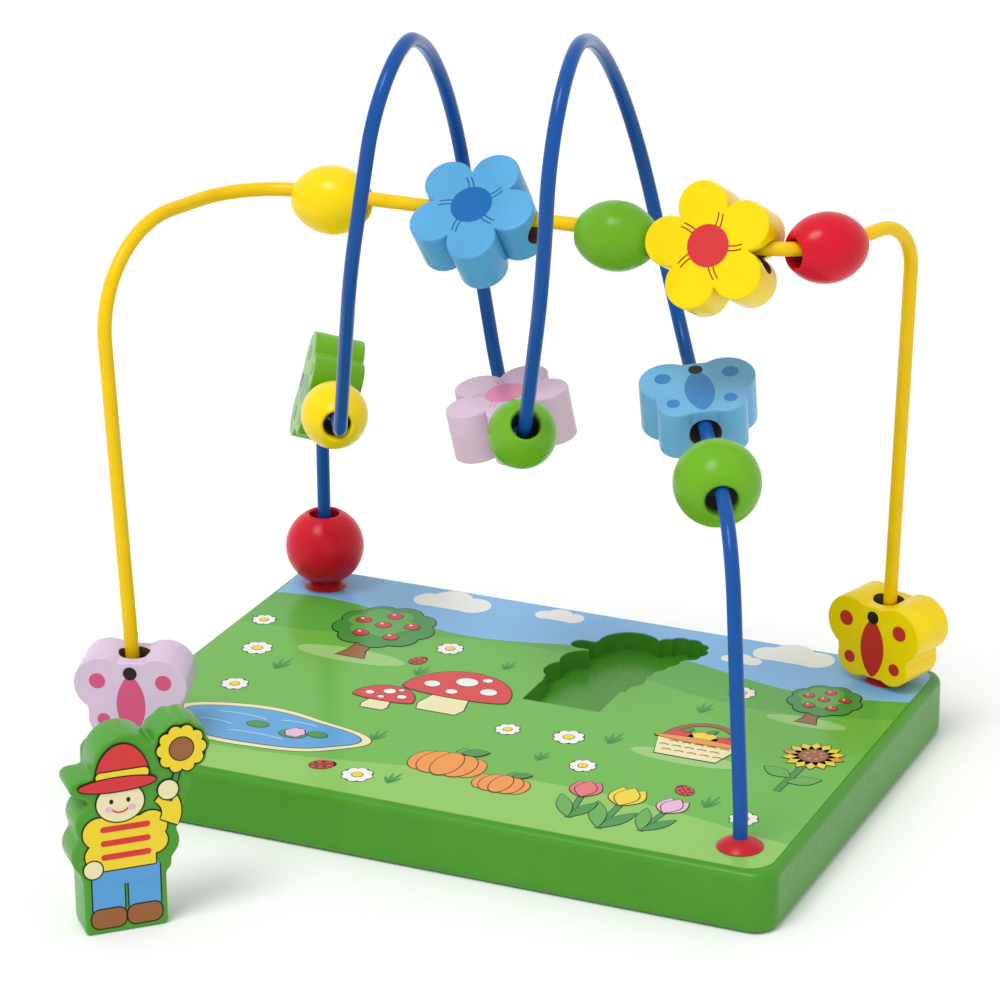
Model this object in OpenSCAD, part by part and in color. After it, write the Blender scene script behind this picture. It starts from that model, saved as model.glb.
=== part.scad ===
// Bead maze: two bent wires on a printed wooden board, with beads, flowers and
// butterflies threaded on them and one loose figure that fits a recess in the board.
// X runs along the board, Y from front to rear, Z up, origin under the board's middle.

/* [Board] */
// Length of the board, left to right
board_l = 210; // [200:1:240]
// Depth of the board, front to rear
board_w = 148; // [142:1:170]
// Thickness of the board
board_t = 18; // [16:0.5:24]
// Corner radius of the board seen from above
board_corner = 7; // [5:0.5:12]
// Rounding along the upper and lower edges
board_edge = 2.5; // [1:0.25:4]
// How far the wires' feet stand in from the board's sides
foot_inset = 14; // [11:0.5:17]

/* [Printed sheet] */
// Thickness of the printed and lacquered sheet
sheet_t = 0.3; // [0.2:0.05:0.6]
// Painted margin left between the sheet and the board's sides
sheet_margin = 2.5; // [1:0.25:5]

/* [Figure and recess] */
// Thickness of the loose figure
figure_t = 11.5; // [8:0.5:16]
// Depth of the recess that takes the figure
recess_depth = 5.5; // [3:0.5:9]
// Gap all round between the figure and its recess
recess_gap = 0.8; // [0.4:0.1:1.5]
// Turn of the figure where it stands in front of the board
figure_turn = 44; // [0:1:60]

/* [Wires] */
// Diameter of the lacquered steel wires
wire_d = 4; // [3:0.25:5]
// Depth of each wire's foot in the board
foot_depth = 12; // [8:0.5:13]
// Radial clearance between a wire and the hole it is glued into
foot_clearance = 0.1; // [0.05:0.05:0.3]
// Height of the blue wire's troughs above the board
trough_h = 78; // [72:1:84]
// Height of the blue wire's loop corners above the board
loop_h = 210; // [200:1:230]
// Height of the yellow wire's level run above the board
arch_h = 145.5; // [140:0.5:152]
// Distance of the level run behind the board's middle line
arch_y = 4; // [0:0.5:6]

/* [Collars] */
// Diameter of the domed collars round the wires' feet
collar_d = 13; // [11:0.5:16]
// Height of the domed collars
collar_h = 3.2; // [2:0.1:4]

/* [Turned beads] */
// Diameter of the large round beads
ball_d = 24; // [21:0.5:26]
// Diameter of the small barrel beads
barrel_d = 19.5; // [17:0.5:22]
// Length of the small barrel beads
barrel_len = 21; // [18:0.5:23]
// Bore of the small barrel beads
barrel_bore = 8; // [7.5:0.25:9]
// Width of the flat rim round a barrel bead's bore
barrel_rim = 0.8; // [0.4:0.1:1.5]

/* [Flowers] */
// Thickness of the flowers
flower_t = 15; // [13:0.5:17]
// Radius of one petal
petal_r = 7; // [6:0.25:8]
// Distance from a flower's centre to the middle of a petal
petal_at = 11.25; // [10:0.25:13]

/* [Butterflies] */
// Thickness of the butterflies
butterfly_t = 15; // [13:0.5:18]
// Radius of the upper wings
wing_r = 8.2; // [7.6:0.1:9]
// Radius of the lower wings
tail_r = 6; // [5.5:0.1:7]
// Radius of the rounding that fills the waist between the wings
waist_r = 5.8; // [5:0.1:6.5]
// Width of a butterfly's body between the wings
body_w = 11; // [10.5:0.25:13]

/* [Fits] */
// Bore of the round beads, flowers and butterflies
shape_bore = 9; // [8.5:0.25:9.5]
// Gap kept at rest between a hanging piece and its wire, or a piece and its seat
rest_gap = 0.3; // [0.2:0.05:0.5]
// Gap along the wire between two neighbours that rest side by side
pair_gap = 0.6; // [0.4:0.1:1.5]

/* [Hidden] */
$fn = 64;

up = [0, 0, 1];
overcut = 1;
sheet_top = board_t + sheet_t;
foot_x = board_l / 2 - foot_inset;
foot_y = board_w / 2 - foot_inset;
foot_z = board_t - foot_depth;

// Each post leaves the board square and takes its lean at this height
lean_z = board_t + 10;
lean_bend = 40;

// A straight run is this much thinner than its bends and enters them by run_lap
run_step = 0.04;
run_lap = 0.05;

// Corners of the blue wire, as x, y, z and bend radius: from the rear left foot through
// the first trough, two loops with a trough between them, and the last trough
blue_route = [
    [-foot_x, foot_y, foot_z, 0],
    [-foot_x, foot_y, board_t + trough_h - 3, 11],
    [-53, -4, board_t + trough_h, 6],
    [-30, -42, board_t + loop_h - 70, 66],
    [-15, -49, board_t + loop_h, 22],
    [-31, 22, board_t + loop_h - 25, 58],
    [-22, 38, board_t + trough_h + 4, 15],
    [8, -14, board_t + trough_h + 7, 21],
    [27, -44, board_t + loop_h - 67, 107],
    [36, -56, board_t + loop_h, 28],
    [14, 36, board_t + loop_h - 17, 62],
    [33, 43, board_t + trough_h + 24, 32],
    [foot_x - 6, 6 - foot_y, board_t + trough_h + 9, 26],
    [foot_x, -foot_y, lean_z, lean_bend],
    [foot_x, -foot_y, foot_z, 0]
];
first_trough = 1;
middle_trough = 6;
middle_bend = 7;
last_trough = 11;

// Corners of the yellow wire, from the front left foot over the level run to the rear right foot
yellow_route = [
    [-foot_x, -foot_y, foot_z, 0],
    [-foot_x, -foot_y, lean_z, lean_bend],
    [-foot_x - 9, 4 - foot_y, board_t + arch_h, 31],
    [6 - foot_x, arch_y, board_t + arch_h, 25],
    [foot_x - 6, arch_y, board_t + arch_h, 24],
    [foot_x + 8, foot_y - 13, board_t + arch_h, 17],
    [foot_x, foot_y, lean_z, lean_bend],
    [foot_x, foot_y, foot_z, 0]
];
level_run = 3;
level_bend = 4;

// Outline of the figure seen from the front, with its left heel at the origin:
// discs as x, y and radius, and bars as left, bottom, right and top
figure_discs = [
    [3.5, 23, 6.5], [5, 32, 6.6],
    [19.9, 31, 6.6], [21.4, 24, 5.1],
    [22, 40, 4.5], [24.4, 36.5, 4.2], [26.5, 41, 4.2],
    [11, 43.5, 8], [12.5, 48, 8.7], [-0.6, 42.9, 2.4], [20.4, 42.9, 2.4]
];
figure_bars = [[0, 0, 22.5, 20], [-0.5, 16, 24, 32], [5, 30, 20, 38], [-0.6, 40.6, 20.4, 45.2]];
// The bloom that the figure holds up: a disc ringed by round petals
bloom_at = [27.6, 50.4];
bloom_disc_r = 6.4;
bloom_petals = 10;
bloom_petal_r = 2.3;
bloom_petal_at = 5.9;
// Where the left heel lies: in the recess, and on the table in front of the board
recess_at = [0, 6];
figure_at = [-61, -70 - board_w / 2];

// Derived sizes of the threaded pieces
ball_half = sqrt(pow(ball_d / 2, 2) - pow(shape_bore / 2, 2));
barrel_end_r = barrel_bore / 2 + barrel_rim;
barrel_rise = barrel_d / 2 - barrel_end_r;
barrel_arc_r = (pow(barrel_len / 2, 2) + pow(barrel_rise, 2)) / (2 * barrel_rise);
barrel_swing = asin(barrel_len / 2 / barrel_arc_r);
// A barrel bead's arc is turned in this many short cones
barrel_cones = 20;
petal_count = 5;
petal_step = 360 / petal_count;
flower_tip = petal_at + petal_r;
flower_back = petal_at * cos(petal_step / 2) + petal_r;
wing_at = [4.3, wing_r - 0.2];
tail_at = [-6, tail_r + 0.4];
waist_at = [-2.8, 6.6];
body_end = 11.2;
butterfly_head = wing_at.x + wing_r;
butterfly_tail = tail_r - tail_at.x;
// Depth of the lower wings below a butterfly's middle, at the rim of its bore
tail_seat = sqrt(pow(tail_r, 2) - pow(tail_at.y - shape_bore / 2, 2)) - tail_at.x;
collar_dome_r = (pow(collar_h, 2) + pow(collar_d / 2, 2)) / (2 * collar_h);
// Height of a collar's dome at the rim of the bore that sits on it
collar_seat_z = sheet_top + collar_h - collar_dome_r + sqrt(pow(collar_dome_r, 2) - pow(shape_bore / 2, 2));

// Geometry of a bent wire: runs between corners, rounded at each corner by its bend radius
function unit(v) = v / norm(v);
function corner(route, i) = [route[i].x, route[i].y, route[i].z];
function heading(route, i) = unit(corner(route, i + 1) - corner(route, i));
function turn(route, i) = acos(heading(route, i - 1) * heading(route, i));
function trim(route, i) = i == 0 || i == len(route) - 1 ? 0 : route[i][3] * tan(turn(route, i) / 2);
function run_start(route, i) = corner(route, i) + trim(route, i) * heading(route, i);
function run_end(route, i) = corner(route, i + 1) - trim(route, i + 1) * heading(route, i);
function run_length(route, i) = norm(run_end(route, i) - run_start(route, i));
function bend_axis(route, i) = unit(cross(heading(route, i - 1), heading(route, i)));
function bend_inward(route, i) = cross(bend_axis(route, i), heading(route, i - 1));
function bend_centre(route, i) = run_end(route, i - 1) + route[i][3] * bend_inward(route, i);

// Places on a wire: on a run by the distance from its start, on a bend by the angle turned
function on_run(route, i, s) = run_start(route, i) + s * heading(route, i);
function bend_in(route, i, a) = cos(a) * bend_inward(route, i) - sin(a) * heading(route, i - 1);
function on_bend(route, i, a) = bend_centre(route, i) - route[i][3] * bend_in(route, i, a);
function bend_heading(route, i, a) = cross(bend_in(route, i, a), bend_axis(route, i));

// A piece hangs from its wire by the slack of its bore, square to the run, less what its ends
// take up where it lies tipped on the wire by an angle
function slack(bore) = (bore - wire_d) / 2 - rest_gap;
function hung(route, i, s, bore, tip = 0, reach = 0) =
    on_run(route, i, s)
    - (slack(bore) - reach * abs(sin(tip))) * unit(up - heading(route, i).z * heading(route, i));
// In a barrel bead on a bend, the wire bows by this much and crosses the bore's ends at a slant
function bow(r) = r - sqrt(pow(r, 2) - pow(barrel_len / 2, 2));
function bend_slack(r) = barrel_bore / 2 - wire_d / (2 * cos(asin(barrel_len / 2 / r))) - rest_gap;

// Where each threaded piece rests: its distance along a run or angle round a bend, and its tip
green_butterfly_s = 19.7;
small_yellow_s = green_butterfly_s + butterfly_tail + pair_gap + barrel_len / 2;
small_green_turn = 31;
small_green_in = bow(blue_route[middle_bend][3]) - bend_slack(blue_route[middle_bend][3]);
small_green_ahead = (blue_route[middle_bend][3] - small_green_in) * sin(small_green_turn);
pink_flower_tip = 6;
// The tipped flower keeps twice the gap, for its tip turns past the bead
pink_flower_s = run_length(blue_route, middle_trough) + small_green_ahead
    - norm([barrel_len / 2, barrel_end_r]) - 2 * pair_gap - flower_tip;
blue_butterfly_s = 14;
blue_butterfly_tip = -9;
butterfly_to_ball = 39;
large_green_s = blue_butterfly_s + butterfly_to_ball;
red_oval_turn = 51.5;

// The pieces on the level run keep these distances from its ends and its middle, and close up
// where the run is too short for them: its spare length is then shared between its two ends
level_left = 7.5;
level_right = 10;
flower_off_middle = 14;
level_left_share = 0.18;
level_l = run_length(yellow_route, level_run);
level_spare = level_l - 1.5 * barrel_len - flower_back - 2 * flower_tip - 3 * pair_gap;
yellow_oval_s = min(level_left, level_left_share * level_spare);
yellow_flower_s = level_l - min(level_right, (1 - level_left_share) * level_spare);
green_oval_s = yellow_flower_s - flower_tip - pair_gap - barrel_len / 2;
blue_flower_s = min(level_l / 2 - flower_off_middle, green_oval_s - barrel_len / 2 - pair_gap - flower_tip);

// Draws children with their own axes along the unit vectors x, y and z
module placed(at, x, y, z) {
    multmatrix([[x.x, y.x, z.x, at.x], [x.y, y.y, z.y, at.y], [x.z, y.z, z.z, at.z], [0, 0, 0, 1]])
        children();
}

// Draws children with their bore, along X, on a wire's heading, and their face, Z, turned to face,
// both tipped by an angle that brings the piece's +X end down
module threaded(at, heading, face, tip = 0) {
    square_face = unit(face - (face * heading) * heading);
    x = cos(tip) * heading - sin(tip) * square_face;
    z = cos(tip) * square_face + sin(tip) * heading;
    placed(at, x, cross(z, x), z) children();
}

// One wire: straight runs joined by bends
module bent_wire(route) {
    for (i = [0:len(route) - 2])
        threaded(on_run(route, i, -run_lap), heading(route, i), abs(heading(route, i).z) > 0.9 ? [0, -1, 0] : up)
            rotate([0, 90, 0])
                cylinder(d = wire_d - run_step, h = run_length(route, i) + 2 * run_lap);
    for (i = [1:len(route) - 2])
        placed(bend_centre(route, i), -bend_inward(route, i), heading(route, i - 1), bend_axis(route, i))
            rotate_extrude(angle = turn(route, i))
                translate([route[i][3], 0])
                    circle(d = wire_d);
}

// Half of the board's section, from its middle plane out to a rounded side
module edge_section(reach) {
    translate([0, board_edge])
        square([reach, board_t - 2 * board_edge]);
    square([reach - board_edge, board_t]);
    for (z = [board_edge, board_t - board_edge])
        translate([reach - board_edge, z])
            circle(board_edge);
}

// Board with round corners and rounded edges: a slab across, two ends and four corner posts
module rounded_board() {
    inner_l = board_l - 2 * board_corner;
    inner_w = board_w - 2 * board_corner;
    for (side = [0, 180])
        rotate([0, 0, side]) {
            translate([inner_l / 2, 0, 0])
                rotate([90, 0, -90])
                    linear_extrude(inner_l)
                        edge_section(board_w / 2);
            translate([inner_l / 2, inner_w / 2, 0])
                rotate([90, 0, 0])
                    linear_extrude(inner_w)
                        edge_section(board_corner);
            for (y = [0, 1])
                translate([inner_l / 2, (y - 0.5) * inner_w, 0])
                    rotate([0, 0, (y - 1) * 90])
                        rotate_extrude(angle = 90)
                            edge_section(board_corner);
        }
}

// The figure's outline, grown all round by grow
module figure_outline(grow) {
    for (d = figure_discs)
        translate([d.x, d.y])
            circle(d[2] + grow);
    for (b = figure_bars)
        translate([b[0] - grow, b[1] - grow])
            square([b[2] - b[0] + 2 * grow, b[3] - b[1] + 2 * grow]);
    translate(bloom_at) {
        circle(bloom_disc_r + grow);
        for (i = [0:bloom_petals - 1])
            rotate(i * 360 / bloom_petals)
                translate([bloom_petal_at, 0])
                    circle(bloom_petal_r + grow);
    }
}

// The four feet's places
module at_feet() {
    for (x = [-foot_x, foot_x], y = [-foot_y, foot_y])
        translate([x, y, 0])
            children();
}

module base_board() {
    color("yellowgreen")
        difference() {
            rounded_board();
            translate([recess_at.x, recess_at.y, board_t - recess_depth])
                linear_extrude(recess_depth + overcut)
                    figure_outline(recess_gap);
            at_feet()
                translate([0, 0, foot_z - foot_clearance])
                    cylinder(d = wire_d + 2 * foot_clearance, h = foot_depth + overcut);
        }
}

module printed_sheet() {
    sheet_l = board_l - 2 * sheet_margin;
    sheet_w = board_w - 2 * sheet_margin;
    color("lightskyblue")
        difference() {
            translate([0, 0, board_t])
                linear_extrude(sheet_t) {
                    square([sheet_l, sheet_w - 2 * board_corner], center = true);
                    square([sheet_l - 2 * board_corner, sheet_w], center = true);
                    for (x = [-1, 1], y = [-1, 1])
                        translate([x * (sheet_l / 2 - board_corner), y * (sheet_w / 2 - board_corner)])
                            circle(board_corner);
                }
            translate([recess_at.x, recess_at.y, board_t - overcut])
                linear_extrude(sheet_t + 2 * overcut)
                    figure_outline(recess_gap);
            at_feet()
                translate([0, 0, board_t - overcut])
                    cylinder(d = wire_d + 2 * foot_clearance, h = sheet_t + 2 * overcut);
        }
}

module blue_wire() {
    color("royalblue")
        bent_wire(blue_route);
}

module yellow_wire() {
    color("gold")
        bent_wire(yellow_route);
}

// Domed collar on the sheet, pressed over a wire's foot
module collar(x, y) {
    color("firebrick")
        translate([x, y, sheet_top])
            difference() {
                intersection() {
                    translate([0, 0, collar_h - collar_dome_r])
                        sphere(collar_dome_r);
                    cylinder(d = 2 * collar_dome_r, h = collar_h + overcut);
                }
                translate([0, 0, -overcut])
                    cylinder(d = wire_d + 2 * foot_clearance, h = collar_h + 2 * overcut);
            }
}

module front_left_collar() { collar(-foot_x, -foot_y); }

module front_right_collar() { collar(foot_x, -foot_y); }

module rear_left_collar() { collar(-foot_x, foot_y); }

module rear_right_collar() { collar(foot_x, foot_y); }

// Bore along X through a piece of this length
module bore(d, length) {
    rotate([0, 90, 0])
        cylinder(d = d, h = length + 2 * overcut, center = true);
}

// Round bead with its bore along X
module ball_bead() {
    rotate([0, 90, 0])
        rotate_extrude()
            intersection() {
                circle(d = ball_d);
                translate([shape_bore / 2, -ball_d / 2])
                    square(ball_d);
            }
}

// Barrel bead with its bore along X: short cones that follow one arc between its two flat rims
module barrel_bead() {
    side = [for (k = [0:barrel_cones])
        let (a = barrel_swing * (2 * k / barrel_cones - 1))
        [barrel_d / 2 - barrel_arc_r * (1 - cos(a)), barrel_arc_r * sin(a)]];
    rotate([0, 90, 0])
        rotate_extrude()
            polygon(concat([[barrel_bore / 2, -barrel_len / 2]], side, [[barrel_bore / 2, barrel_len / 2]]));
}

// Flower of round petals, with its bore from a gap between two petals to a petal's tip at +X
module flower() {
    difference() {
        linear_extrude(flower_t, center = true) {
            circle(petal_at);
            for (i = [0:petal_count - 1])
                rotate(i * petal_step)
                    translate([petal_at, 0])
                        circle(petal_r);
        }
        bore(shape_bore, 2 * flower_tip);
    }
}

// Butterfly with two pairs of round wings, bored from tail to head, its head at +X
module butterfly() {
    difference() {
        linear_extrude(butterfly_t, center = true) {
            translate([-body_end, -body_w / 2])
                square([2 * body_end, body_w]);
            for (side = [-1, 1]) {
                translate([wing_at.x, side * wing_at.y])
                    circle(wing_r);
                translate([waist_at.x, side * waist_at.y])
                    circle(waist_r);
                translate([tail_at.x, side * tail_at.y])
                    circle(tail_r);
            }
        }
        bore(shape_bore, 2 * butterfly_head);
    }
}

module red_round_bead() {
    color("crimson")
        threaded([-foot_x, foot_y, collar_seat_z + ball_half + rest_gap], up, [0, -1, 0])
            ball_bead();
}

module green_butterfly() {
    color("limegreen")
        threaded(hung(blue_route, first_trough, green_butterfly_s, shape_bore),
                -heading(blue_route, first_trough), [-0.84, -0.5, 0.27])
            butterfly();
}

module small_yellow_bead() {
    color("yellow")
        threaded(hung(blue_route, first_trough, small_yellow_s, barrel_bore),
                heading(blue_route, first_trough), up)
            barrel_bead();
}

module pink_flower() {
    color("thistle")
        threaded(hung(blue_route, middle_trough, pink_flower_s, shape_bore, pink_flower_tip, flower_tip),
                heading(blue_route, middle_trough), [-0.17, -0.1, 1], pink_flower_tip)
            flower();
}

// The bead lies in an upward bend, so the wire bows down in its bore
module small_green_bead() {
    inward = small_green_in * bend_in(blue_route, middle_bend, small_green_turn);
    color("yellowgreen")
        threaded(on_bend(blue_route, middle_bend, small_green_turn) + inward,
                bend_heading(blue_route, middle_bend, small_green_turn), up)
            barrel_bead();
}

module blue_butterfly() {
    color("skyblue")
        threaded(hung(blue_route, last_trough, blue_butterfly_s, shape_bore, blue_butterfly_tip, butterfly_head),
                -heading(blue_route, last_trough), [-0.085, -0.045, 1], blue_butterfly_tip)
            butterfly();
}

module large_green_bead() {
    color("yellowgreen")
        threaded(hung(blue_route, last_trough, large_green_s, shape_bore),
                heading(blue_route, last_trough), up)
            ball_bead();
}

// Butterfly standing upright on the collar of a leaning post
module standing_butterfly(x, y, face) {
    threaded([x, y, collar_seat_z + tail_seat + rest_gap], up, face)
        butterfly();
}

module pink_butterfly() {
    color("thistle")
        standing_butterfly(-foot_x, -foot_y, [0.3, -0.95, 0]);
}

module yellow_oval_bead() {
    color("yellow")
        threaded(hung(yellow_route, level_run, yellow_oval_s, barrel_bore), heading(yellow_route, level_run), up)
            barrel_bead();
}

module blue_flower() {
    color("skyblue")
        threaded(hung(yellow_route, level_run, blue_flower_s, shape_bore),
                heading(yellow_route, level_run), [0, -0.62, 0.78])
            flower();
}

module green_oval_bead() {
    color("yellowgreen")
        threaded(hung(yellow_route, level_run, green_oval_s, barrel_bore), heading(yellow_route, level_run), up)
            barrel_bead();
}

module yellow_flower() {
    color("gold")
        threaded(hung(yellow_route, level_run, yellow_flower_s, shape_bore),
                -heading(yellow_route, level_run), [0, -0.9, 0.44])
            flower();
}

// The bead lies in a level bend: it sits half the bow inward and hangs by what slack is left
module red_oval_bead() {
    r = yellow_route[level_bend][3];
    inward = bow(r) / 2 * bend_in(yellow_route, level_bend, red_oval_turn);
    drop = sqrt(pow(bend_slack(r), 2) - pow(bow(r) / 2, 2));
    color("crimson")
        threaded(on_bend(yellow_route, level_bend, red_oval_turn) + inward - drop * up,
                bend_heading(yellow_route, level_bend, red_oval_turn), up)
            barrel_bead();
}

module yellow_butterfly() {
    color("gold")
        standing_butterfly(foot_x, foot_y, [-0.3, -0.95, 0]);
}

// Loose figure, standing on the table in front of the board
module garden_figure() {
    color("forestgreen")
        translate([figure_at.x, figure_at.y, 0])
            rotate([0, 0, figure_turn])
                translate([0, figure_t, 0])
                    rotate([90, 0, 0])
                        linear_extrude(figure_t)
                            figure_outline(0);
}

base_board();
printed_sheet();
blue_wire();
yellow_wire();
front_left_collar();
front_right_collar();
rear_left_collar();
rear_right_collar();
red_round_bead();
green_butterfly();
small_yellow_bead();
pink_flower();
small_green_bead();
blue_butterfly();
large_green_bead();
pink_butterfly();
yellow_oval_bead();
blue_flower();
green_oval_bead();
yellow_flower();
red_oval_bead();
yellow_butterfly();
garden_figure();
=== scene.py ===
"""Bead maze: a printed wooden board, two bent wires, threaded beads, flowers and butterflies,
and one loose figure. Lengths are written in millimetres and colours as sRGB hex values."""
from math import cos, pi, radians, sin, tan

import bmesh
import bpy
import numpy as np
from mathutils import Matrix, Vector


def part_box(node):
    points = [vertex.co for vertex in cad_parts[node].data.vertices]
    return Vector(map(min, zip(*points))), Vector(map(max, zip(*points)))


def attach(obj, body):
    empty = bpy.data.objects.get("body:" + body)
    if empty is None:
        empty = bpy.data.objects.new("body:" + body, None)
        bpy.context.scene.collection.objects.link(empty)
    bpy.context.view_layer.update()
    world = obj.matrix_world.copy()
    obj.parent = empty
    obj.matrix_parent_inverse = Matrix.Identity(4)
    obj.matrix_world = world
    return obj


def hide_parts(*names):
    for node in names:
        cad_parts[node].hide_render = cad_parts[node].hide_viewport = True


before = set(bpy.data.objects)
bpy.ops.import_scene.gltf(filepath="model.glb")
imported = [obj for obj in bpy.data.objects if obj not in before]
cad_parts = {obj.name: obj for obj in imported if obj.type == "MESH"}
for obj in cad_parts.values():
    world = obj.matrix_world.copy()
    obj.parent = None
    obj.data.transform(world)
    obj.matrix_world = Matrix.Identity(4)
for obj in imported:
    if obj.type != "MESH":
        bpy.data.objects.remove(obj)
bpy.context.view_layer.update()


# Base board
# A thick beech board, routed to round edges and corners, with a shallow recess for the figure.
# It is sprayed apple green and lacquered, and everything else is glued into it or laid on it.
MM = 0.001
BOARD_GREEN = "#4a9627"
PAINT_DEPTH_MM = 14
ORANGE_PEEL_MM = 2.4
GRAIN_MM = 1.3
PAINT_IOR = 1.5
PAINT_SHEEN = 0.2


def srgb(code):
    """Linear colour of an sRGB hex value: ((c + 0.055) / 1.055) ** 2.4, or c / 12.92 near black."""
    c = np.array([int(code[i:i + 2], 16) for i in (1, 3, 5)]) / 255
    linear = np.where(c <= 0.04045, c / 12.92, ((c + 0.055) / 1.055) ** 2.4)
    return (*linear.tolist(), 1.0)


def add(tree, kind, inputs=None, **settings):
    """Adds a node with its settings, and gives each input its value or the socket it is linked to."""
    node = tree.nodes.new(kind)
    for name, value in settings.items():
        setattr(node, name, value)
    for name, value in (inputs or {}).items():
        if isinstance(value, bpy.types.NodeSocket):
            tree.links.new(value, node.inputs[name])
        else:
            node.inputs[name].default_value = value
    return node


def blank_material(name):
    """A new material with an empty node tree."""
    material = bpy.data.materials.new(name)
    material.use_nodes = True
    material.node_tree.nodes.clear()
    return material, material.node_tree


def mottled(tree, colour, deeper, tone):
    """A colour that goes from deeper times itself to itself, as the tone goes from 0 to 1."""
    full = np.array(srgb(colour))
    thin = full * (deeper, deeper, deeper, 1)
    return add(tree, "ShaderNodeMix", {0: tone, 6: thin.tolist(), 7: full.tolist()},
               data_type="RGBA").outputs[2]


def painted_beech(name, colour):
    """Enamel sprayed on sanded beech. The coat varies a little in depth, has orange peel that
    softens its highlights, and lets the grain under it show as long shallow ripples."""
    material, tree = blank_material(name)
    place = add(tree, "ShaderNodeTexCoord").outputs["Object"]
    depth = add(tree, "ShaderNodeTexNoise",
                {"Vector": place, "Scale": 1 / (PAINT_DEPTH_MM * MM), "Detail": 2.0}).outputs["Fac"]
    peel = add(tree, "ShaderNodeTexNoise",
               {"Vector": place, "Scale": 1 / (ORANGE_PEEL_MM * MM), "Detail": 1.0}).outputs["Fac"]
    along = add(tree, "ShaderNodeMapping", {"Vector": place, "Scale": (0.07, 1.0, 1.0)}).outputs[0]
    grain = add(tree, "ShaderNodeTexNoise",
                {"Vector": along, "Scale": 1 / (GRAIN_MM * MM), "Detail": 3.0}).outputs["Fac"]
    tone = add(tree, "ShaderNodeMapRange", {"Value": depth, "From Min": 0.3, "From Max": 0.7}).outputs[0]
    shade = mottled(tree, colour, 0.92, tone)
    relief = add(tree, "ShaderNodeMath", {0: grain, 1: 0.45, 2: peel}, operation="MULTIPLY_ADD").outputs[0]
    bump = add(tree, "ShaderNodeBump",
               {"Height": relief, "Strength": 0.05, "Distance": 0.04 * MM}).outputs[0]
    gloss = add(tree, "ShaderNodeMapRange",
                {"Value": peel, "From Min": 0.3, "From Max": 0.7, "To Min": 0.2, "To Max": 0.3}).outputs[0]
    paint = add(tree, "ShaderNodeBsdfPrincipled",
                {"Base Color": shade, "Roughness": gloss, "Normal": bump, "IOR": PAINT_IOR,
                 "Specular IOR Level": PAINT_SHEEN}).outputs[0]
    add(tree, "ShaderNodeOutputMaterial", {"Surface": paint})
    return material


def new_piece(name, mesh, materials):
    """Puts a mesh into the scene as an object at the origin, with its materials."""
    for material in materials:
        mesh.materials.append(material)
    piece = bpy.data.objects.new(name, mesh)
    bpy.context.scene.collection.objects.link(piece)
    return piece


def node_mesh(node):
    """Vertices and triangles of a node of the frame, as arrays."""
    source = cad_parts[node].data
    corners = np.empty(len(source.vertices) * 3)
    source.vertices.foreach_get("co", corners)
    source.calc_loop_triangles()
    triangles = np.empty(len(source.loop_triangles) * 3, int)
    source.loop_triangles.foreach_get("vertices", triangles)
    return corners.reshape(-1, 3), triangles.reshape(-1, 3)


def soften(mesh, angle):
    """Merges equal vertices, turns the faces outwards and shades all but edges sharper than angle.
    Faces with more than four sides, and faces square to an axis of the frame, stay flat."""
    shape = bmesh.new()
    shape.from_mesh(mesh)
    bmesh.ops.remove_doubles(shape, verts=shape.verts, dist=0.001 * MM)
    bmesh.ops.recalc_face_normals(shape, faces=shape.faces)
    shape.to_mesh(mesh)
    shape.free()
    mesh.set_sharp_from_angle(angle=radians(angle))
    sides = np.empty(len(mesh.polygons), int)
    mesh.polygons.foreach_get("loop_total", sides)
    normals = np.empty(len(mesh.polygons) * 3)
    mesh.polygons.foreach_get("normal", normals)
    square = np.abs(normals.reshape(-1, 3)).max(1) > 0.99999
    mesh.polygons.foreach_set("use_smooth", (sides <= 4) & ~square)


board_mesh = bpy.data.meshes.new("painted_board")
board_corners, board_triangles = node_mesh("base_board")
board_mesh.from_pydata(board_corners.tolist(), [], board_triangles.tolist())
soften(board_mesh, 35)
board_paint = painted_beech("apple_green_enamel_on_beech", BOARD_GREEN)
board = new_piece("painted_board", board_mesh, [board_paint])
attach(board, "board")
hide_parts("base_board")


# Printed sheet
# A thin sheet of printed paper glued to the board and lacquered, cut out round the recess.
# The meadow is printed in flat inks with a fine black line round each motif.
PRINT_LINE = 0.38
LEAF_START = 0.03
INK_STEP = 0.03
INK_ROOT = 0.05
INK_MOTTLE_MM = 2
INK_ROUGHNESS = 0.2
INKS = {
    "black_ink": "#1f1a18", "white_ink": "#f4f4ef", "red_ink": "#d93a3c", "coral_ink": "#e8717a",
    "orange_ink": "#f1973f", "yellow_ink": "#f2d731", "cream_ink": "#efe6b4", "leaf_ink": "#3f9440",
    "moss_ink": "#62ad4c", "lime_ink": "#9ccb78", "water_ink": "#5aa2da", "pale_blue_ink": "#a8d2ee",
    "pink_ink": "#e8b9d8", "brown_ink": "#9c6338",
}
SKY_BLUE = "#84bcec"
MEADOW_GREEN = "#6ab544"
FAR_GREEN = "#5bab42"
VERGE_GREEN = "#8dc55c"


def printed_ink(name, colour):
    """Offset ink under clear lacquer: even and flat, with a fine unevenness in how much ink was laid
    down. The dots of the print are too fine to show, so it is drawn about 2 mm across."""
    material, tree = blank_material(name)
    place = add(tree, "ShaderNodeTexCoord").outputs["Object"]
    laid = add(tree, "ShaderNodeTexNoise",
               {"Vector": place, "Scale": 1 / (INK_MOTTLE_MM * MM), "Detail": 2.0}).outputs["Fac"]
    shade = mottled(tree, colour, 0.93, laid)
    lacquer = add(tree, "ShaderNodeBsdfPrincipled",
                  {"Base Color": shade, "Roughness": INK_ROUGHNESS, "IOR": PAINT_IOR,
                   "Specular IOR Level": PAINT_SHEEN}).outputs[0]
    add(tree, "ShaderNodeOutputMaterial", {"Surface": lacquer})
    return material


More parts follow.
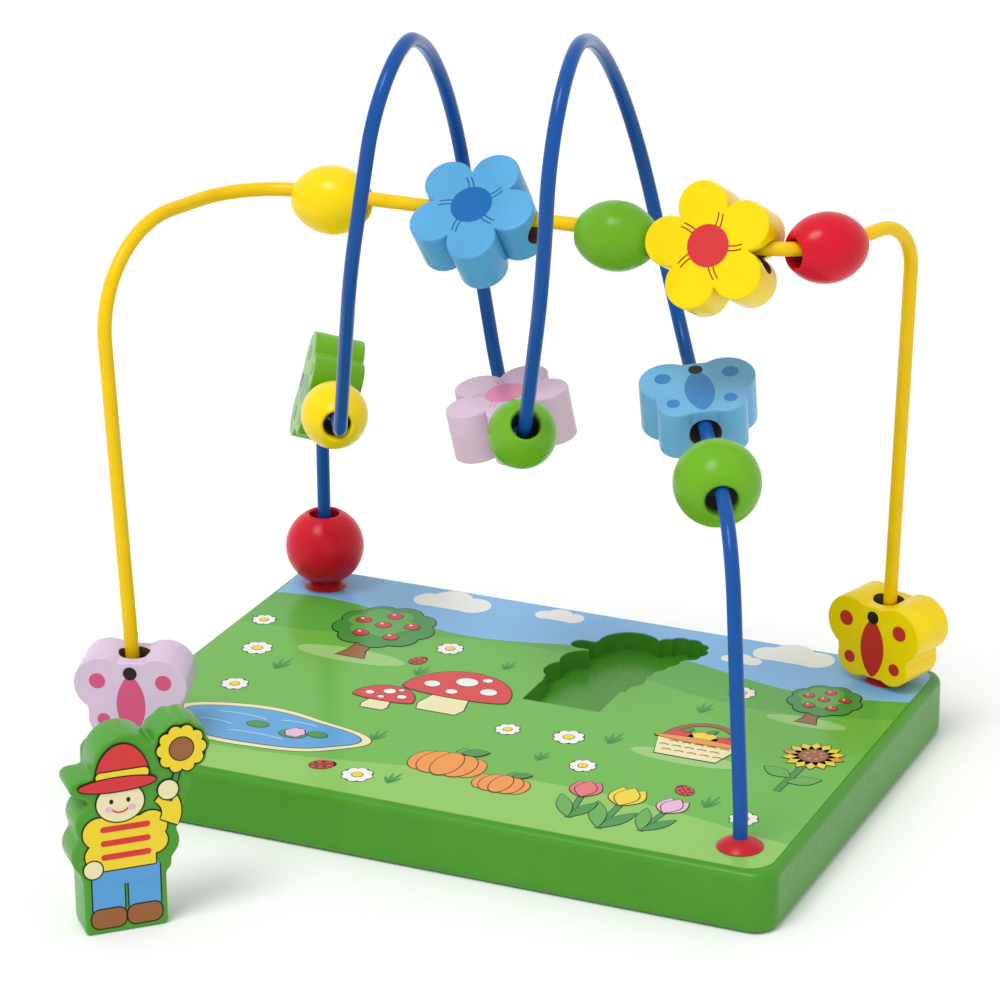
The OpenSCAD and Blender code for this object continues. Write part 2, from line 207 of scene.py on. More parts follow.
def meadow_print():
    """Background of the print: sky, a far hill, meadow and a pale verge. Each edge is a line
    y = base + swell * sin(x / length + shift), with the colour changing where y passes it."""
    material, tree = blank_material("lacquered_meadow_print")
    place = add(tree, "ShaderNodeTexCoord").outputs["Object"]
    axes = add(tree, "ShaderNodeSeparateXYZ", {0: place}).outputs
    laid = add(tree, "ShaderNodeTexNoise",
               {"Vector": place, "Scale": 1 / (INK_MOTTLE_MM * MM), "Detail": 2.0}).outputs["Fac"]
    shade = srgb(VERGE_GREEN)
    for base, swell, length, shift, colour in (
            (-51, 7, 34, 0.6, MEADOW_GREEN), (33, 8, 25, 2.2, FAR_GREEN), (46, 5, 17, 0.4, SKY_BLUE)):
        phase = add(tree, "ShaderNodeMath", {0: axes["X"], 1: 1 / (length * MM), 2: shift},
                    operation="MULTIPLY_ADD").outputs[0]
        wave = add(tree, "ShaderNodeMath", {0: phase}, operation="SINE").outputs[0]
        line = add(tree, "ShaderNodeMath", {0: wave, 1: swell * MM, 2: base * MM},
                   operation="MULTIPLY_ADD").outputs[0]
        past = add(tree, "ShaderNodeMath", {0: axes["Y"], 1: line}, operation="GREATER_THAN").outputs[0]
        shade = add(tree, "ShaderNodeMix", {0: past, 6: shade, 7: srgb(colour)}, data_type="RGBA").outputs[2]
    thin = add(tree, "ShaderNodeMapRange", {"Value": laid, "To Min": 0.94, "To Max": 1.03}).outputs[0]
    shade = add(tree, "ShaderNodeMix", {0: 1.0, 6: shade, 7: thin}, data_type="RGBA",
                blend_type="MULTIPLY").outputs[2]
    lacquer = add(tree, "ShaderNodeBsdfPrincipled",
                  {"Base Color": shade, "Roughness": INK_ROUGHNESS, "IOR": PAINT_IOR,
                   "Specular IOR Level": PAINT_SHEEN}).outputs[0]
    add(tree, "ShaderNodeOutputMaterial", {"Surface": lacquer})
    return material


def ellipse(x, y, a, b, turn=0, points=40):
    """Ellipse of half axes a and b about x, y, turned by an angle in degrees."""
    t = np.linspace(0, 2 * pi, points, endpoint=False)
    c, s = cos(radians(turn)), sin(radians(turn))
    return np.column_stack([x + c * a * np.cos(t) - s * b * np.sin(t),
                            y + s * a * np.cos(t) + c * b * np.sin(t)])


def far_edge(discs, boxes=(), centre=(0, 0), points=180):
    """Outline of discs (x, y, radius) and boxes (left, bottom, right, top) joined together.
    On each ray from the centre, it is the farthest point that any of them reaches."""
    t = np.linspace(0, 2 * pi, points, endpoint=False) + 1e-4
    ray = np.column_stack([np.cos(t), np.sin(t)])
    reach = np.zeros(points)
    for x, y, radius in discs:
        to = np.array([x, y]) - centre
        along = ray @ to
        room = radius ** 2 - (to @ to - along ** 2)
        reach = np.maximum(reach, np.where(room > 0, along + np.sqrt(np.maximum(room, 0)), 0))
    for left, bottom, right, top in boxes:
        one = (np.array([left, bottom]) - centre) / ray
        two = (np.array([right, top]) - centre) / ray
        enters = np.minimum(one, two).max(1)
        leaves = np.maximum(one, two).min(1)
        reach = np.maximum(reach, np.where(leaves > np.maximum(enters, 0), leaves, 0))
    return np.array(centre) + reach[:, None] * ray


def ring_of(count, x, y, at, radius, shift=0):
    """Discs of one radius spaced evenly round a point."""
    turns = np.radians(shift + np.arange(count) * 360 / count)
    return [(x + at * c, y + at * s, radius) for c, s in zip(np.cos(turns), np.sin(turns))]


def leaf(x, y, length, width, turn, points=16):
    """Pointed leaf that starts just off x, y: half its width at s along it is width / 2 * sin(pi * s)."""
    s = np.linspace(0, 1, points)
    half = width / 2 * np.sin(pi * s)
    along = (LEAF_START + (1 - LEAF_START) * np.concatenate([s, s[-2:0:-1]])) * length
    across = np.concatenate([half, -half[-2:0:-1]])
    c, d = cos(radians(turn)), sin(radians(turn))
    return np.column_stack([x + c * along - d * across, y + d * along + c * across])


def ribbon(path, width):
    """A band of even width along a path of points, square at its ends."""
    path = np.asarray(path, float)
    along = np.gradient(path, axis=0)
    side = np.column_stack([-along[:, 1], along[:, 0]]) / np.linalg.norm(along, axis=1)[:, None]
    return np.concatenate([path + side * width / 2, (path - side * width / 2)[::-1]])


def arc(x, y, a, b, start, end, points=16):
    """Points on an ellipse of half axes a and b, between two angles in degrees."""
    t = np.radians(np.linspace(start, end, points))
    return np.column_stack([x + a * np.cos(t), y + b * np.sin(t)])


def winding(curve):
    """Twice the area inside a closed curve, below zero where it runs clockwise: the sum over its points of
    x times the next y, less y times the next x."""
    return curve[:, 0] @ np.roll(curve[:, 1], -1) - curve[:, 1] @ np.roll(curve[:, 0], -1)


def grown(curve, by):
    """A closed curve moved outwards by a distance, along its own normals."""
    along = np.roll(curve, -1, 0) - np.roll(curve, 1, 0)
    out = np.column_stack([along[:, 1], -along[:, 0]]) * np.sign(winding(curve))
    return curve + by * out / np.maximum(np.linalg.norm(out, axis=1), 1e-6)[:, None]


def draw(art, curve, ink, layer, line=PRINT_LINE):
    """Adds one motif to a print: its fill, over a black line that stands out all round it."""
    if line:
        art.append((grown(curve, line), "black_ink", layer))
    art.append((curve, ink, layer + 1))


def film(name, art, origin, axes):
    """Prints a list of (curve, ink, layer) on a flat face. Each curve is a closed slab from INK_ROOT
    under the face up to layer * INK_STEP above it, so that later layers cover earlier ones."""
    corners, faces, colours = [], [], []
    inks = sorted({ink for _, ink, _ in art})
    first = 0
    for curve, ink, layer in art:
        curve = curve if winding(curve) > 0 else curve[::-1]
        count = len(curve)
        low = first + np.arange(count)
        high = low + count
        corners += [np.column_stack([curve, np.full(count, z)]) for z in (-INK_ROOT, layer * INK_STEP)]
        faces += [low[::-1].tolist(), high.tolist()]
        faces += np.stack([low, np.roll(low, -1), np.roll(high, -1), high], 1).tolist()
        colours += [inks.index(ink)] * (count + 2)
        first += 2 * count
    places = np.asarray(origin) + np.concatenate(corners) * MM @ np.asarray(axes)
    mesh = bpy.data.meshes.new(name)
    mesh.from_pydata(places.tolist(), [], faces)
    mesh.polygons.foreach_set("material_index", colours)
    return new_piece(name, mesh, [ink_materials[ink] for ink in inks])


def cloud(art, x, y, s):
    """A cloud of round lobes on a flat foot."""
    lobes = [(x - 1.1 * s, y, 0.6 * s), (x - 0.3 * s, y + 0.35 * s, 0.8 * s),
             (x + 0.7 * s, y + 0.1 * s, 0.7 * s)]
    draw(art, far_edge(lobes, [(x - 1.2 * s, y - 0.55 * s, x + s, y)], (x, y)), "white_ink", 1, 0)


def apple_tree(art, x, y, s):
    """A round tree on a short trunk, with apples in its crown."""
    draw(art, ellipse(x, y, 1.1 * s, 0.3 * s), "lime_ink", 1, 0)
    trunk = np.array([(-0.3, -0.05), (0.3, -0.05), (0.17, 0.25), (0.15, 0.8), (-0.15, 0.8),
                      (-0.17, 0.25)]) * s
    draw(art, trunk + (x, y), "brown_ink", 2)
    crown = y + 1.45 * s
    draw(art, far_edge(ring_of(9, x, crown, 0.62 * s, 0.36 * s), (), (x, crown)), "leaf_ink", 4)
    draw(art, far_edge(ring_of(6, x - 0.12 * s, crown + 0.14 * s, 0.4 * s, 0.27 * s), (),
                       (x - 0.12 * s, crown + 0.14 * s)), "moss_ink", 6, 0)
    for c, r, _ in ring_of(5, x, crown, 0.52 * s, 0, 20) + [(x - 0.05 * s, crown + 0.05 * s, 0)]:
        draw(art, ellipse(c, r, 0.14 * s, 0.13 * s), "red_ink", 8, 0.28)
        draw(art, ellipse(c - 0.05 * s, r + 0.05 * s, 0.035 * s, 0.03 * s), "white_ink", 10, 0)


def toadstool(art, x, y, s):
    """A spotted cap on a stout stem."""
    stem = np.array([(-0.2, 0.0), (0.2, 0.0), (0.24, 0.12), (0.15, 0.5), (-0.15, 0.5), (-0.24, 0.12)]) * s
    draw(art, stem + (x, y), "cream_ink", 2)
    cap = np.concatenate([arc(x, y + 0.45 * s, 0.55 * s, 0.52 * s, 0, 180, 24),
                          arc(x, y + 0.45 * s, 0.55 * s, 0.1 * s, 180, 360, 24)[1:-1]])
    draw(art, cap, "red_ink", 4)
    for u, v, r in ((-0.3, 0.58, 0.08), (0.0, 0.74, 0.11), (0.29, 0.6, 0.085), (-0.05, 0.48, 0.06),
                    (0.17, 0.85, 0.05)):
        draw(art, ellipse(x + u * s, y + v * s, r * s, 0.85 * r * s), "white_ink", 6, 0.22)


def pumpkin(art, x, y, s):
    """A ribbed pumpkin: five overlapping ellipses, the middle one in front."""
    stalk = np.array([(-0.09, 0.5), (0.09, 0.5), (0.07, 0.85), (0.2, 1.0), (0.05, 1.06), (-0.07, 0.85)]) * s
    draw(art, stalk + (x, y), "moss_ink", 1)
    for layer, (u, a, b) in enumerate(((-0.62, 0.4, 0.56), (0.62, 0.4, 0.56), (-0.34, 0.42, 0.64),
                                       (0.34, 0.42, 0.64), (0.0, 0.36, 0.68))):
        draw(art, ellipse(x + u * s, y, a * s, b * s), "orange_ink", 2 + 2 * (layer // 2), 0.3)
    draw(art, leaf(x + 0.05 * s, y + 0.7 * s, 0.75 * s, 0.4 * s, 25), "leaf_ink", 7, 0.28)


def tulip(art, x, y, h, ink, lean=90):
    """A tulip: a stem, two long leaves and three pointed petals."""
    top = (x + h * cos(radians(lean)), y + h * sin(radians(lean)))
    draw(art, ribbon(np.linspace((x, y), top, 6), 0.07 * h), "leaf_ink", 1, 0.25)
    draw(art, leaf(x, y, 0.72 * h, 0.2 * h, lean + 22), "moss_ink", 2, 0.25)
    draw(art, leaf(x, y, 0.6 * h, 0.18 * h, lean - 26), "leaf_ink", 3, 0.25)
    foot = (x + 0.62 * h * cos(radians(lean)), y + 0.62 * h * sin(radians(lean)))
    for layer, off in ((4, 16), (4, -16), (6, 0)):
        draw(art, leaf(*foot, 0.5 * h, 0.28 * h, lean + off), ink, layer, 0.3)


def sunflower(art, x, y, h):
    """A sunflower: a stem, two leaves, a ring of pointed petals and a seed disc."""
    top = np.array([x + 0.05 * h, y + 0.74 * h])
    draw(art, ribbon(np.linspace((x, y), top, 8), 0.05 * h), "leaf_ink", 1, 0.28)
    draw(art, leaf(x + 0.01 * h, y + 0.18 * h, 0.3 * h, 0.15 * h, 30), "moss_ink", 3, 0.28)
    draw(art, leaf(x + 0.02 * h, y + 0.28 * h, 0.3 * h, 0.15 * h, 155), "moss_ink", 3, 0.28)
    for turn in np.arange(14) * 360 / 14:
        draw(art, leaf(*top, 0.26 * h, 0.11 * h, turn), "yellow_ink" if turn % 2 else "orange_ink", 4, 0.25)
    draw(art, ellipse(*top, 0.12 * h, 0.12 * h), "brown_ink", 7, 0.3)
    for c, r, _ in ring_of(7, *top, 0.07 * h, 0):
        draw(art, ellipse(c, r, 0.014 * h, 0.014 * h, points=10), "orange_ink", 9, 0)


def fruit_basket(art, x, y, s):
    """A woven basket with a bowed handle, heaped with apples."""
    draw(art, ellipse(x, y, 0.85 * s, 0.22 * s), "lime_ink", 1, 0)
    draw(art, ribbon(arc(x, y + 0.6 * s, 0.55 * s, 0.62 * s, 0, 180, 24), 0.09 * s), "brown_ink", 1, 0.3)
    for u, v, ink in ((-0.36, 0.66, "red_ink"), (0.36, 0.66, "red_ink"), (0.0, 0.72, "yellow_ink")):
        draw(art, ellipse(x + u * s, y + v * s, 0.23 * s, 0.22 * s), ink, 3, 0.3)
        draw(art, leaf(x + u * s, y + (v + 0.18) * s, 0.2 * s, 0.1 * s, 50), "leaf_ink", 5, 0.22)
    side = np.array([(-0.48, 0.0), (0.48, 0.0), (0.64, 0.58), (-0.64, 0.58)]) * s
    draw(art, side + (x, y), "cream_ink", 6)
    for row, v in enumerate((0.14, 0.3, 0.45)):
        for u in np.linspace(-0.4, 0.4, 5) + 0.05 * (-1) ** row:
            weave = arc(x + u * s, y + v * s, 0.075 * s, 0.04 * s, 20, 160, 8)
            draw(art, ribbon(weave, 0.025 * s), "brown_ink", 8, 0)
    draw(art, ellipse(x, y + 0.6 * s, 0.7 * s, 0.08 * s), "orange_ink", 8, 0.32)


def daisy(art, x, y, r):
    """A daisy: eight round petals about a yellow middle."""
    draw(art, far_edge(ring_of(8, x, y, 0.68 * r, 0.32 * r), (), (x, y)), "white_ink", 1, 0.28)
    draw(art, ellipse(x, y, 0.34 * r, 0.34 * r, points=20), "yellow_ink", 3, 0.22)


def grass(art, x, y, s):
    """A tuft of four blades."""
    for turn, share in ((65, 0.7), (82, 1.0), (100, 0.9), (120, 0.65)):
        draw(art, leaf(x, y, share * s, 0.13 * s, turn, 8), "leaf_ink", 1, 0)


def ladybird(art, x, y, s, turn):
    """A spotted beetle seen from above."""
    c, d = cos(radians(turn)), sin(radians(turn))
    draw(art, ellipse(x + 0.85 * s * c, y + 0.85 * s * d, 0.4 * s, 0.5 * s, turn, 20), "black_ink", 1, 0)
    draw(art, ellipse(x, y, s, 0.8 * s, turn), "red_ink", 2, 0.3)
    seam = np.linspace((x - s * c, y - s * d), (x + 0.9 * s * c, y + 0.9 * s * d), 4)
    draw(art, ribbon(seam, 0.12 * s), "black_ink", 3, 0)
    for u, v in ((-0.45, 0.38), (-0.45, -0.38), (0.2, 0.42), (0.2, -0.42)):
        spot = (x + s * (u * c - v * d), y + s * (u * d + v * c))
        draw(art, ellipse(*spot, 0.17 * s, 0.17 * s, points=14), "black_ink", 3, 0)


def pond(art, x, y, a, b):
    """A pond with a pale bank, ripples, lily pads and one water lily."""
    t = np.linspace(0, 2 * pi, 72, endpoint=False)
    swell = 1 + 0.07 * np.sin(3 * t + 1) + 0.04 * np.sin(5 * t)
    shore = np.column_stack([a * swell * np.cos(t), b * swell * np.sin(t)])
    draw(art, shore * (1.1, 1.2) + (x, y), "cream_ink", 1, 0.3)
    draw(art, shore + (x, y), "water_ink", 3, 0.32)
    for u, v, w in ((-0.35, 0.4, 0.3), (0.3, 0.5, 0.22), (0.0, -0.55, 0.34), (-0.55, -0.2, 0.2)):
        draw(art, ribbon(arc(x + u * a, y + v * b, w * a, 0.12 * b, 20, 160), 0.5), "pale_blue_ink", 5, 0)
    for u, v, r in ((0.35, -0.1, 0.15), (0.6, 0.1, 0.11), (-0.1, 0.1, 0.12)):
        draw(art, ellipse(x + u * a, y + v * b, r * a, 0.6 * r * a), "leaf_ink", 5, 0.28)
    lily = (x + 0.36 * a, y)
    draw(art, far_edge(ring_of(6, *lily, 0.06 * a, 0.05 * a), (), lily), "pink_ink", 7, 0.26)


ink_materials = {ink: printed_ink(ink, colour) for ink, colour in INKS.items()}
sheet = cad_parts["printed_sheet"]
sheet.data.materials.clear()
sheet.data.materials.append(meadow_print())

meadow_art = []
for cloud_x, cloud_y, cloud_s in ((-48, 62, 8), (-14, 65, 5), (62, 64, 8), (48, 56, 4)):
    cloud(meadow_art, cloud_x, cloud_y, cloud_s)
apple_tree(meadow_art, -60, 14, 16)
apple_tree(meadow_art, 80, 22, 11)
toadstool(meadow_art, -20, -13, 30)
toadstool(meadow_art, -38, -18, 17)
pond(meadow_art, -60, -42, 27, 11)
pumpkin(meadow_art, -2, -44, 11)
pumpkin(meadow_art, 17, -50, 8)
fruit_basket(meadow_art, 57, -14, 19)
sunflower(meadow_art, 88, -24, 34)
for tulip_x, tulip_y, tulip_h, tulip_ink, tulip_lean in (
        (42, -62, 21, "coral_ink", 97), (52, -65, 24, "yellow_ink", 90), (63, -62, 20, "pink_ink", 82)):
    tulip(meadow_art, tulip_x, tulip_y, tulip_h, tulip_ink, tulip_lean)
for daisy_x, daisy_y, daisy_r in (
        (-88, 8, 4.5), (-35, 30, 4), (-82, -18, 4), (22, -14, 4.5), (33, -30, 3.8),
        (-22, -60, 4.5), (56, 34, 4), (86, -44, 4), (4, -16, 3.6), (-96, 28, 3.6)):
    daisy(meadow_art, daisy_x, daisy_y, daisy_r)
for tuft_x, tuft_y, tuft_s in (
        (-76, -4, 9), (-36, 8, 8), (34, -14, 9), (-28, -38, 8), (74, -42, 9),
        (20, -32, 7), (50, 16, 8), (-12, -62, 8), (-14, 22, 7), (-90, -64, 8)):
    grass(meadow_art, tuft_x, tuft_y, tuft_s)
ladybird(meadow_art, -34, -58, 3.4, 30)
ladybird(meadow_art, 65, -34, 3, 130)
ladybird(meadow_art, -40, 18, 2.8, 70)
sheet_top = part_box("printed_sheet")[1].z
motifs = film("printed_motifs", meadow_art, (0, 0, sheet_top), np.eye(3))
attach(motifs, "board")


# Bent wires
# Two steel wires, dip-lacquered and bent on a former, their feet glued into blind holes.
# The blue one makes a coil of two loops, and the yellow one an arch that passes inside it.
WIRE_D = 4
WIRE_SIDES = 32
LACQUER_RUNS_MM = 6
BLUE_LACQUER = "#0c53a4"
YELLOW_LACQUER = "#fbce00"
# Corners from foot to foot as x, y, z and bend radius
BLUE_ROUTE = np.array([
    (-91, 60, 6, 0), (-91, 60, 93, 11), (-53, -4, 96, 6), (-30, -42, 158, 66), (-15, -49, 228, 22),
    (-31, 22, 203, 58), (-22, 38, 100, 15), (8, -14, 103, 21), (27, -44, 161, 107), (36, -56, 228, 28),
    (14, 36, 211, 62), (33, 43, 120, 32), (85, -54, 105, 26), (91, -60, 28, 40), (91, -60, 6, 0)], float)
YELLOW_ROUTE = np.array([
    (-91, -60, 6, 0), (-91, -60, 28, 40), (-100, -56, 163.5, 31), (-85, 4, 163.5, 25),
    (85, 4, 163.5, 24), (99, 47, 163.5, 17), (91, 60, 28, 40), (91, 60, 6, 0)], float)


def unit(v):
    """The vector's direction, at length one."""
    v = np.asarray(v, float)
    return v / np.linalg.norm(v)


def heading(route, i):
    """Direction of the straight run that leaves corner i."""
    return unit(route[i + 1, :3] - route[i, :3])


def turned(vectors, axis, angles):
    """Vectors turned about a unit axis: v cos a + (axis x v) sin a + axis (axis . v) (1 - cos a)."""
    c, s = np.cos(angles)[:, None], np.sin(angles)[:, None]
    v = np.broadcast_to(vectors, (len(angles), 3))
    return v * c + np.cross(axis, v) * s + np.outer(v @ axis, axis) * (1 - c)


def bend_of(route, i):
    """Axis and angle of the bend at corner i."""
    before, after = heading(route, i - 1), heading(route, i)
    return unit(np.cross(before, after)), np.arccos(before @ after)


def lacquered_steel(name, colour):
    """Dip lacquer on drawn steel wire: deep, even colour under a clear gloss, with slow runs along it."""
    material, tree = blank_material(name)
    place = add(tree, "ShaderNodeTexCoord").outputs["Object"]
    runs = add(tree, "ShaderNodeTexNoise",
               {"Vector": place, "Scale": 1 / (LACQUER_RUNS_MM * MM), "Detail": 2.0}).outputs["Fac"]
    shade = mottled(tree, colour, 0.85, runs)
    bump = add(tree, "ShaderNodeBump", {"Height": runs, "Strength": 0.3, "Distance": 0.05 * MM}).outputs[0]
    lacquer = add(tree, "ShaderNodeBsdfPrincipled",
                  {"Base Color": shade, "Roughness": 0.2, "Normal": bump, "IOR": PAINT_IOR,
                   "Specular IOR Level": PAINT_SHEEN}).outputs[0]
    add(tree, "ShaderNodeOutputMaterial", {"Surface": lacquer})
    return material


def ring_mesh(name, rings, looped=False):
    """A closed skin over rows of rings: quads between neighbours, and a flat face on each end ring,
    or the last ring joined to the first if it is looped."""
    rows, count = rings.shape[:2]
    i = np.arange(rows if looped else rows - 1)[:, None] * count
    j = np.arange(count)
    nearby, beyond = i + j, i + np.roll(j, -1)
    quads = np.stack([nearby, beyond, beyond + count, nearby + count], -1).reshape(-1, 4) % (rows * count)
    ends = [] if looped else [j[::-1].tolist(), (j + (rows - 1) * count).tolist()]
    mesh = bpy.data.meshes.new(name)
    mesh.from_pydata(rings.reshape(-1, 3).tolist(), [], quads.tolist() + ends)
    return mesh


def bent_wire(route):
    """Rings round a wire. A bend of radius r starts r tan(turn / 2) before its corner, and there the
    centre line and the ring's two axes turn together about the bend's own axis."""
    side = unit(np.cross(heading(route, 0), (1, 0, 0)))
    middles, sides, tops = [route[:1, :3]], [side[None]], [np.cross(heading(route, 0), side)[None]]
    for i in range(1, len(route) - 1):
        axis, angle = bend_of(route, i)
        radius = route[i, 3]
        start = route[i, :3] - radius * tan(angle / 2) * heading(route, i - 1)
        inward = np.cross(axis, heading(route, i - 1))
        steps = np.linspace(0, angle, 4 + int(np.degrees(angle) / 3))
        middles.append(start + radius * (inward - turned(inward, axis, steps)))
        sides.append(turned(sides[-1][-1], axis, steps))
        tops.append(turned(tops[-1][-1], axis, steps))
    middles.append(route[-1:, :3])
    sides.append(sides[-1][-1:])
    tops.append(tops[-1][-1:])
    middle, side, top = (np.concatenate(rows)[:, None] for rows in (middles, sides, tops))
    t = np.linspace(0, 2 * pi, WIRE_SIDES, endpoint=False)[:, None]
    return (middle + WIRE_D / 2 * (side * np.cos(t) + top * np.sin(t))) * MM


for wire_name, wire_route, wire_colour, wire_node, wire_slot in (
        ("blue_bent_wire", BLUE_ROUTE, BLUE_LACQUER, "blue_wire", "blue_lacquer"),
        ("yellow_bent_wire", YELLOW_ROUTE, YELLOW_LACQUER, "yellow_wire", "yellow_lacquer")):
    wire_mesh = ring_mesh(wire_name, bent_wire(wire_route))
    soften(wire_mesh, 40)
    wire = new_piece(wire_name, wire_mesh, [lacquered_steel("lacquered_steel_" + wire_node, wire_colour)])
    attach(wire, "board")
    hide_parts(wire_node)


# Collars
# Red moulded caps pushed down over the wires' feet, which hide the glued holes in the board.
# Each is a low dome with a small round edge where it meets the sheet.
COLLAR_RED = "#c3222d"
COLLAR_SIDES = 64
COLLAR_EDGE = 0.5
COLLAR_GAP = 0.05
MOULD_TEXTURE_MM = 0.8


def moulded_cap(name, colour):
    """Injection-moulded polypropylene: even colour and a satin gloss, with a very fine mould texture."""
    material, tree = blank_material(name)
    place = add(tree, "ShaderNodeTexCoord").outputs["Object"]
    fine = add(tree, "ShaderNodeTexNoise",
               {"Vector": place, "Scale": 1 / (MOULD_TEXTURE_MM * MM), "Detail": 2.0}).outputs["Fac"]
    shade = mottled(tree, colour, 0.9, fine)
    bump = add(tree, "ShaderNodeBump", {"Height": fine, "Strength": 0.2, "Distance": 0.03 * MM}).outputs[0]
    plastic = add(tree, "ShaderNodeBsdfPrincipled",
                  {"Base Color": shade, "Roughness": 0.28, "Normal": bump, "IOR": 1.49,
                   "Specular IOR Level": PAINT_SHEEN}).outputs[0]
    add(tree, "ShaderNodeOutputMaterial", {"Surface": plastic})
    return material


def dome(radius, height, bore, edge):
    """Half section of a collar as (radius, height): a round edge, then a cap of one sphere that ends
    at the bore. The sphere's radius is (height^2 + radius^2) / (2 height)."""
    ball = (height ** 2 + radius ** 2) / (2 * height)
    lip = np.radians(np.linspace(-90, 40, 8))
    across = np.linspace(radius - 0.6 * edge, bore, 16)
    rise = height - ball + np.sqrt(ball ** 2 - across ** 2)
    foot = np.column_stack([radius - edge + edge * np.cos(lip), edge + edge * np.sin(lip)])
    return np.concatenate([[(bore, 0)], foot[foot[:, 1] < rise[0]], np.column_stack([across, rise])])


collar_plastic = moulded_cap("moulded_red_polypropylene", COLLAR_RED)
for collar_node in ("front_left_collar", "front_right_collar", "rear_left_collar", "rear_right_collar"):
    low, high = (np.array(corner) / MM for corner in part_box(collar_node))
    section = dome((high[0] - low[0]) / 2, high[2] - low[2], WIRE_D / 2 + COLLAR_GAP, COLLAR_EDGE)
    t = np.linspace(0, 2 * pi, COLLAR_SIDES, endpoint=False)
    x, y = ((low + high) / 2)[:2]
    rings = np.stack([x + np.outer(section[:, 0], np.cos(t)), y + np.outer(section[:, 0], np.sin(t)),
                      np.broadcast_to(low[2] + section[:, 1:], (len(section), COLLAR_SIDES))], -1) * MM
    collar_mesh = ring_mesh("red_" + collar_node, rings, looped=True)
    soften(collar_mesh, 50)
    collar = new_piece("red_" + collar_node, collar_mesh, [collar_plastic])
    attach(collar, "board")
    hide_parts(collar_node)


# Turned beads
# Beech beads turned on a lathe, two large balls and five small barrels, drilled along the grain.
# They are dipped in enamel, which runs a little way into the bore; the bare wood deep inside is painted dark
# brown for the shade there.
BALL_D = 24
BALL_BORE = 9
BARREL_D = 19.5
BARREL_LEN = 21
BARREL_BORE = 8
BEAD_LIP = 0.8
BEAD_SIDES = 96
BORE_GRAIN_MM = 1.1
BEAD_COLOURS = {"red": "#d60f2a", "green": "#6fb31f", "yellow": "#fddc00"}
SMALL_GREEN_TURN = 31
RED_OVAL_TURN = 51.5


def shaded_bare_beech(name):
    """Drilled beech left bare: brown end grain with fine tool rings, painted darker for the shade deep inside
    a bore.
    """
    material, tree = blank_material(name)
    place = add(tree, "ShaderNodeTexCoord").outputs["Object"]
    grain = add(tree, "ShaderNodeTexNoise",
                {"Vector": place, "Scale": 1 / (BORE_GRAIN_MM * MM), "Detail": 4.0}).outputs["Fac"]
    # Both browns are darker than bare beech: painted shade for the inside of a bore.
    shade = add(tree, "ShaderNodeMix", {0: grain, 6: srgb("#4a321f"), 7: srgb("#7c5a3a")},
                data_type="RGBA").outputs[2]
    bump = add(tree, "ShaderNodeBump", {"Height": grain, "Strength": 0.4, "Distance": 0.1 * MM}).outputs[0]
    wood = add(tree, "ShaderNodeBsdfPrincipled",
               {"Base Color": shade, "Roughness": 0.65, "Normal": bump}).outputs[0]
    add(tree, "ShaderNodeOutputMaterial", {"Surface": wood})
    return material


def bead_section(d, bore, lip, length=None):
    """Closed section of a turned bead as (along, radius), and which strips of it lie deep in the bore.
    The outside is an arc through both ends and the middle, and a quarter ellipse turns it into the bore."""
    end_r = bore / 2 + lip
    if length is None:
        arc_r = d / 2
        half = np.sqrt(arc_r ** 2 - end_r ** 2)
    else:
        rise = d / 2 - end_r
        half = length / 2
        arc_r = (half ** 2 + rise ** 2) / (2 * rise)
    swing = np.arcsin(half / arc_r)
    a = np.linspace(-swing, swing, 49)
    outside = np.column_stack([arc_r * np.sin(a), d / 2 - arc_r + arc_r * np.cos(a)])
    q = np.linspace(0, pi / 2, 9)[1:]
    mouth = np.column_stack([half - lip * (1 - np.cos(q)), end_r - lip * np.sin(q)])
    wall = np.column_stack([np.linspace(half - lip, lip - half, 9)[1:-1], np.full(7, bore / 2)])
    section = np.concatenate([outside, mouth, wall, (mouth * (-1, 1))[::-1]])
    deep = np.arange(len(section)) - len(outside) - len(mouth)
    return section, (deep >= 0) & (deep < len(wall) - 1)


def on_axis(section, middle, axis):
    """The section carried round an axis through a middle point, as rows of rings in metres."""
    side = unit(np.cross(axis, (0.3, 0.5, 0.8)))
    up = np.cross(axis, side)
    t = np.linspace(0, 2 * pi, BEAD_SIDES, endpoint=False)[:, None]
    around = side * np.cos(t) + up * np.sin(t)
    return middle + (section[:, :1, None] * axis + section[:, 1:, None] * around) * MM


def middle_of(node):
    """Middle of a node's box, in metres."""
    low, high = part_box(node)
    return (np.array(low) + np.array(high)) / 2


def bend_heading(route, i, degrees):
    """Direction of the wire in the bend at corner i, after it has turned by an angle."""
    axis, _ = bend_of(route, i)
    return turned(heading(route, i - 1), axis, np.radians([degrees]))[0]
